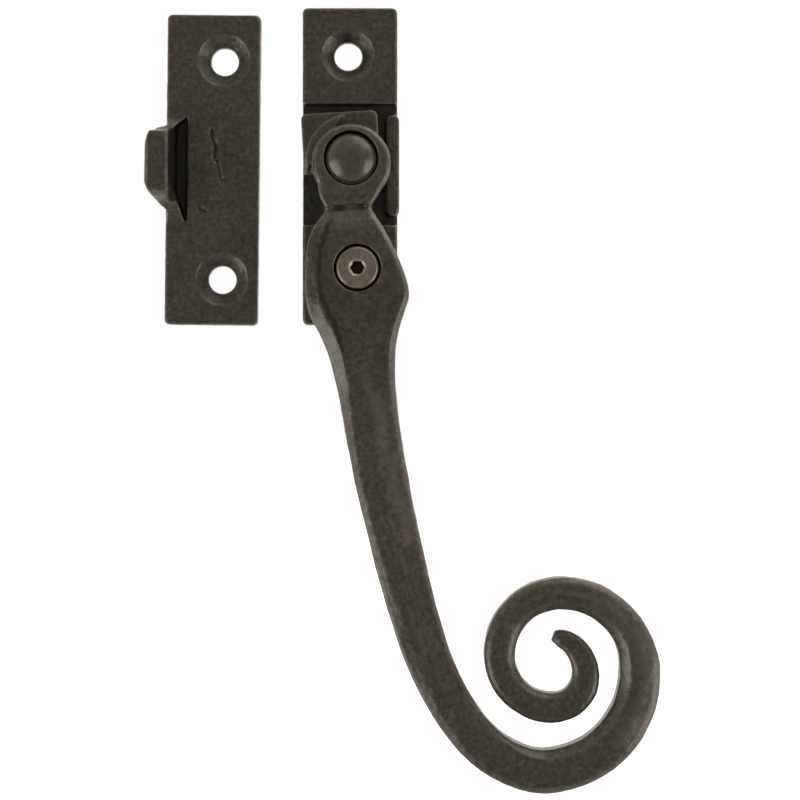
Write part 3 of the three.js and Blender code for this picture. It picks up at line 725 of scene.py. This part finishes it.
def make_clip(steel):
    """An E-clip: three prongs on the screw's neck, and an open mouth to push it on by."""
    low, high = box_mm("lock_screw_clip")
    bottom, top = -high[1], -low[1]
    outside = (high[2] - low[2]) / 2
    half_mouth = math.radians(24)
    turn = np.linspace(half_mouth, 2 * math.pi - half_mouth, 72)
    inside = LOCK_NECK_RADIUS + GAP + 0.4 * (1 - np.cos(3 * (turn - math.pi)))
    flat = [(outside * math.cos(a), outside * math.sin(a)) for a in turn]
    flat += [(r * math.cos(a), r * math.sin(a)) for a, r in zip(turn[::-1], inside[::-1])]
    count = len(flat)
    points = [(LOCK_AXIS[0] + x, -h, LOCK_AXIS[2] + z) for h in (bottom, top) for x, z in flat]
    faces = [(i, (i + 1) % count, (i + 1) % count + count, i + count) for i in range(count)]
    half = count // 2
    for level in (0, count):
        for i in range(half - 1):
            faces.append((level + i, level + i + 1, level + count - 2 - i, level + count - 1 - i))
    mesh = bpy.data.meshes.new("clip")
    mesh.from_pydata(points, [], faces)
    return finished("clip_e_shaped", tidied(mesh), "lock_clip", "lock_screw_clip", steel)


# ---- stage --------------------------------------------------------------------------------------


def pale_floor():
    floor = bpy.data.meshes.new("floor")
    reach, z = FLOOR_REACH_M, cad_low.z - FLOOR_DROP_M
    corners = [(-reach, -reach, z), (reach, -reach, z), (reach, reach, z), (-reach, reach, z)]
    floor.from_pydata(corners, [], [(0, 1, 2, 3)])
    shown = bpy.data.objects.new("floor", floor)
    bpy.context.scene.collection.objects.link(shown)
    shader = Shader("pale_floor", "")
    shader.set(colour=(0.8, 0.8, 0.8, 1), roughness=0.9)
    shader.principled.inputs["Emission Color"].default_value = (1, 1, 1, 1)
    shader.principled.inputs["Emission Strength"].default_value = 0.6
    floor.materials.append(shader.material)
    shown.visible_diffuse = False
    shown.visible_glossy = False


def studio_world():
    """A pale studio: bright round the sides and behind the part, dim on the camera's side.

    The camera itself sees plain white in every direction.
    """
    world = bpy.data.worlds.new("studio")
    bpy.context.scene.world = world
    world.use_nodes = True
    tree = world.node_tree
    direction = tree.nodes.new("ShaderNodeTexCoord").outputs["Generated"]
    split = tree.nodes.new("ShaderNodeSeparateXYZ")
    tree.links.new(direction, split.inputs["Vector"])
    ramp = tree.nodes.new("ShaderNodeMapRange")
    ramp.interpolation_type = "SMOOTHSTEP"
    ramp.inputs["From Min"].default_value = -0.7
    ramp.inputs["From Max"].default_value = 0.0
    ramp.inputs["To Min"].default_value = ROOM_DIM
    ramp.inputs["To Max"].default_value = ROOM_BRIGHT
    tree.links.new(split.outputs["Y"], ramp.inputs["Value"])
    room = tree.nodes["Background"]
    room.inputs["Color"].default_value = (*WARM_LIGHT, 1)
    tree.links.new(ramp.outputs["Result"], room.inputs["Strength"])
    backdrop = tree.nodes.new("ShaderNodeBackground")
    backdrop.inputs["Color"].default_value = (1, 1, 1, 1)
    seen = tree.nodes.new("ShaderNodeLightPath").outputs["Is Camera Ray"]
    either = tree.nodes.new("ShaderNodeMixShader")
    tree.links.new(seen, either.inputs[0])
    tree.links.new(room.outputs[0], either.inputs[1])
    tree.links.new(backdrop.outputs[0], either.inputs[2])
    tree.links.new(either.outputs[0], tree.nodes["World Output"].inputs["Surface"])


def soft_light(name, direction, distance, size, brightness):
    """A square soft box that faces the middle of the part. direction points from the part to the light."""
    data = bpy.data.lights.new(name, "AREA")
    data.shape = "SQUARE"
    data.size = size
    data.energy = brightness * math.pi * size * size
    data.color = WARM_LIGHT
    light = bpy.data.objects.new(name, data)
    bpy.context.scene.collection.objects.link(light)
    middle = (cad_low + cad_high) / 2
    towards = type(middle)(direction).normalized()
    light.location = middle + towards * distance
    light.rotation_mode = "QUATERNION"
    light.rotation_quaternion = towards.to_track_quat("Z", "Y")
    light.visible_camera = False


def camera():
    data = bpy.data.cameras.new("camera")
    data.angle = math.radians(FIELD_OF_VIEW_DEG)
    shown = bpy.data.objects.new("camera", data)
    bpy.context.scene.collection.objects.link(shown)
    middle = (cad_low + cad_high) / 2
    shown.location = (middle.x, -CAMERA_DISTANCE_M, middle.z - CAMERA_DROP_M)
    shown.rotation_euler = (math.pi / 2, 0, 0)
    bpy.context.scene.camera = shown


def main():
    bpy.context.scene.view_settings.view_transform = "Standard"
    paint = black_paint()
    make_keep(paint)
    make_back_plate(paint)
    make_handle(paint)
    steel = bright_steel()
    make_rivet(rivet_paint())
    make_washers(steel)
    make_lock_screw(blacked_steel())
    make_clip(steel)
    camera()
    pale_floor()
    studio_world()
    for light in LIGHTS:
        soft_light(*light)


main()
